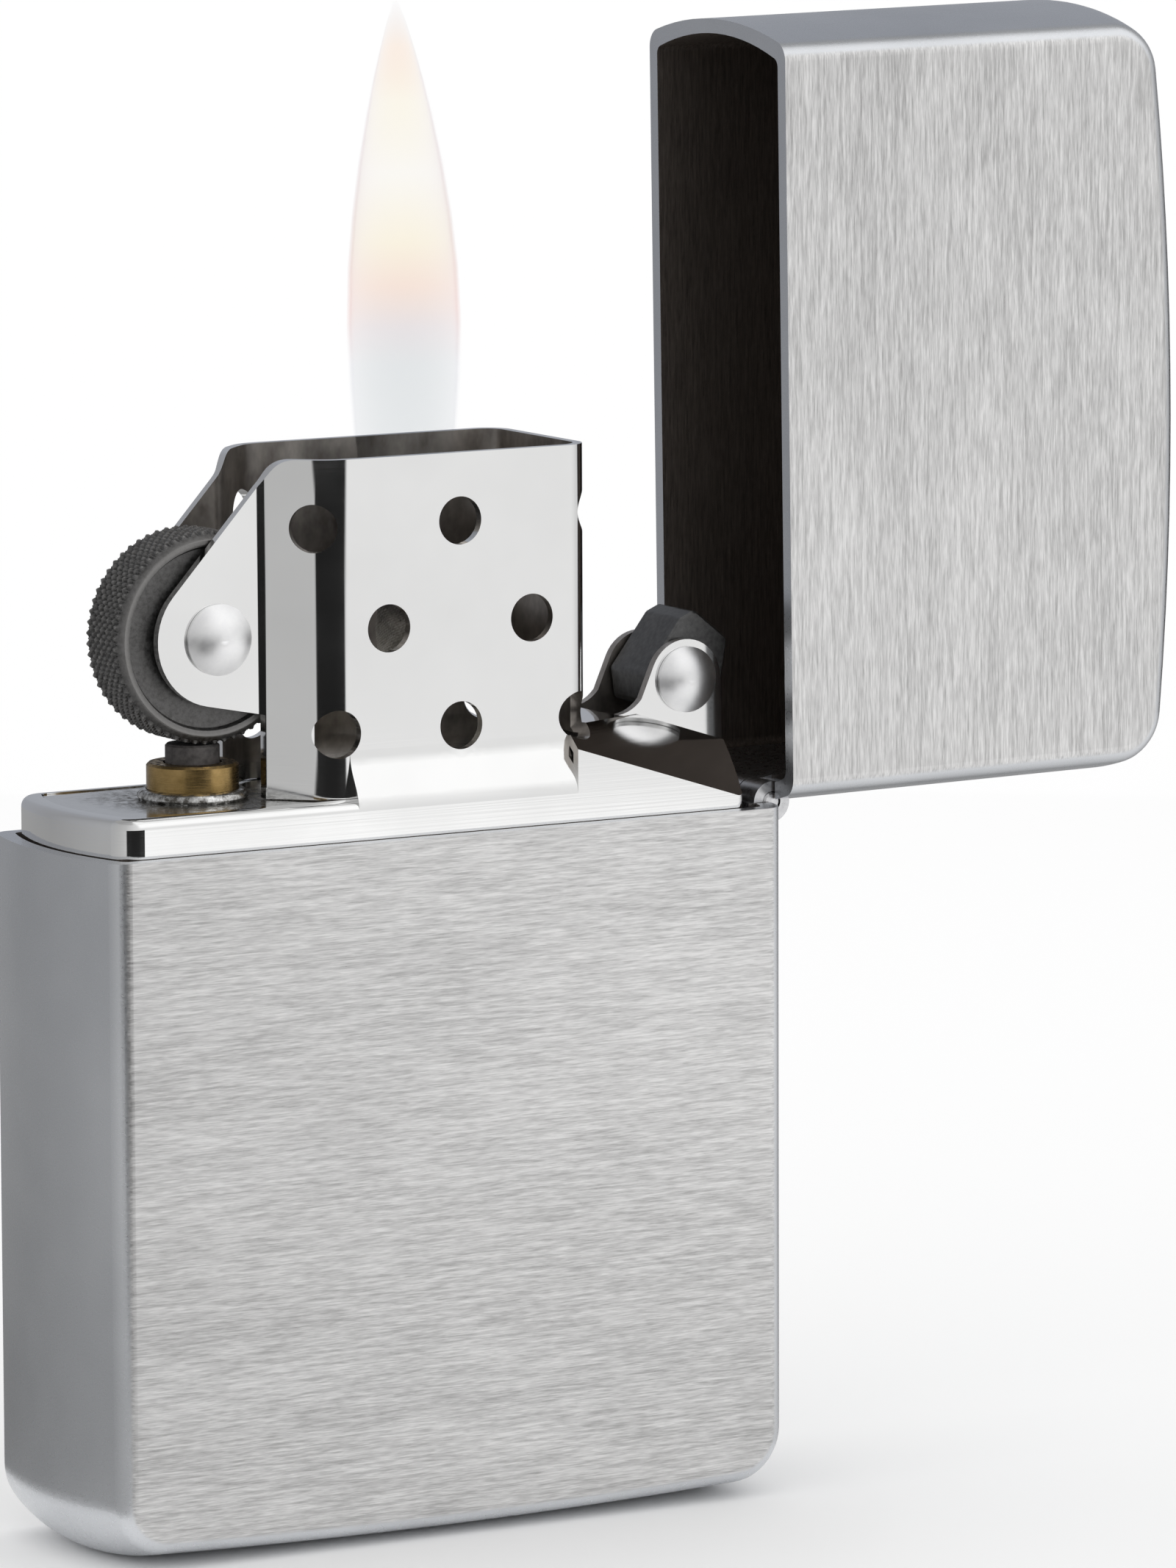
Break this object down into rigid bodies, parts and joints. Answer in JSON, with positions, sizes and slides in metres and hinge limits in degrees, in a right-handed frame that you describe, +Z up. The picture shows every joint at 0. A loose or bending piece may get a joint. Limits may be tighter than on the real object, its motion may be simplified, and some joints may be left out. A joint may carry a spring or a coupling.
{
  "type": "petrol lighter",
  "caption": "Flip-top windproof petrol lighter, lid open: hinged metal case, slide-out insert with perforated chimney, flint wheel, lid cam and wick.",
  "frame": {"origin": "centre of the case's flat foot", "axes": "+Z up the closed case, +X from the wheel side towards the hinge, +Y from the front face to the back face"},
  "size_m": [0.0607, 0.0126, 0.0718],
  "materials": {
    "case_metal": "brushed front and back, satin ends",
    "insert_metal": "polished sheet with a sooty chimney",
    "hinge_metal": "satin",
    "rivet_metal": "polished",
    "brass": "turned, dusted with sparks",
    "wheel_steel": "hardened, cross-knurled",
    "cam_steel": "dark matt",
    "spring_steel": "drawn wire and strip",
    "flint": "dull, sparked",
    "wick_cord": "braided, charred at the top",
    "packing": "loose fibre",
    "felt": "pressed felt"
  },
  "bodies": {
    "case": {"case_body": "case_metal", "body_hinge_leaf": "hinge_metal", "hinge_pin": "hinge_metal"},
    "lid": {"lid_shell": "case_metal", "lid_hinge_leaf": "hinge_metal"},
    "insert": {"insert_can": "insert_metal", "top_plate": "insert_metal", "flint_tube": "brass", "wheel_rivet": "rivet_metal", "cam_rivet": "rivet_metal", "cam_spring": "spring_steel", "cam_spring_rivet": "rivet_metal", "wick": "wick_cord", "packing_ball_1": "packing", "packing_ball_2": "packing", "packing_ball_3": "packing", "packing_ball_4": "packing", "felt_pad": "felt"},
    "wheel": {"flint_wheel": "wheel_steel"},
    "cam": {"cam": "cam_steel"},
    "flint": {"flint": "flint", "spring_tip": "brass"},
    "flint_screw": {"flint_screw": "brass", "flint_spring": "spring_steel"}
  },
  "joints": [
    {"name": "lid_hinge", "type": "hinge", "parent": "case", "child": "lid", "pos_m": [0.01865, 0, 0.0339], "axis": [0, 1, 0], "range_deg": [-89.3, 20]},
    {"name": "insert_slide", "type": "slide", "parent": "case", "child": "insert", "axis": [0, 0, 1], "range_m": [0, 0.034]},
    {"name": "wheel_spin", "type": "hinge", "parent": "insert", "child": "wheel", "pos_m": [-0.01055, 0, 0.04355], "axis": [0, 1, 0], "continuous": true},
    {"name": "cam_pivot", "type": "hinge", "parent": "insert", "child": "cam", "pos_m": [0.0151, 0, 0.0399], "axis": [0, 1, 0], "range_deg": [-27.5, 6.5]},
    {"name": "flint_feed", "type": "slide", "parent": "insert", "child": "flint", "axis": [0, 0, 1], "range_m": [-0.0008, 0], "stiffness_N_per_m": 300, "deforming": ["flint_spring"]},
    {"name": "flint_screw_turn", "type": "hinge", "parent": "insert", "child": "flint_screw", "pos_m": [-0.01075, 0, 0.0029], "axis": [0, 0, 1], "continuous": true}
  ],
  "couplings": [
    {"joint": "cam_pivot", "follows": "lid_hinge", "ratio": 0.3}
  ]
}
